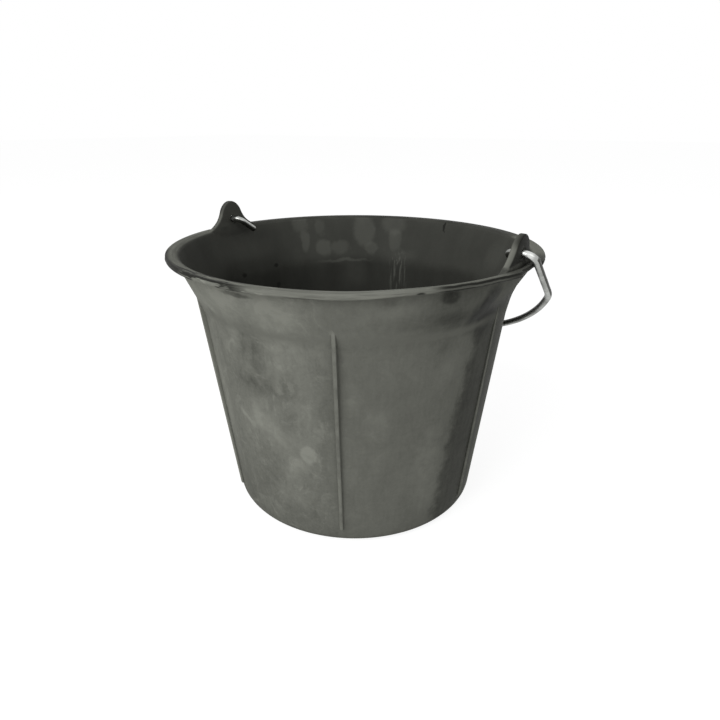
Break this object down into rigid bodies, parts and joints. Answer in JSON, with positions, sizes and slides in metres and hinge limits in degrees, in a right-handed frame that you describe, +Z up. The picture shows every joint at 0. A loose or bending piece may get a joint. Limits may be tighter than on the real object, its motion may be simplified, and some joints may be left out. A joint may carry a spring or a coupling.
{
  "type": "rubber bucket",
  "caption": "Round tapered bucket of black rubber with a flared mouth, raised ribs, bail ears and a swinging bent-wire bail for carrying.",
  "frame": {"origin": "middle of the flat underside", "axes": "+Z up, +X through the ear hole on the picture's right, +Y towards the side where the bail hangs"},
  "size_m": [0.3426, 0.33, 0.2641],
  "materials": {
    "black_rubber": "matt, chalky bloom",
    "galvanised_wire": "dull galvanised"
  },
  "bodies": {
    "bucket": {"bucket_body": "black_rubber"},
    "bail": {"bail_handle": "galvanised_wire"}
  },
  "joints": [
    {"name": "bail_swing", "type": "hinge", "parent": "bucket", "child": "bail", "pos_m": [0, 0, 0.2485], "axis": [1, 0, 0], "range_deg": [0, 263.9]}
  ]
}
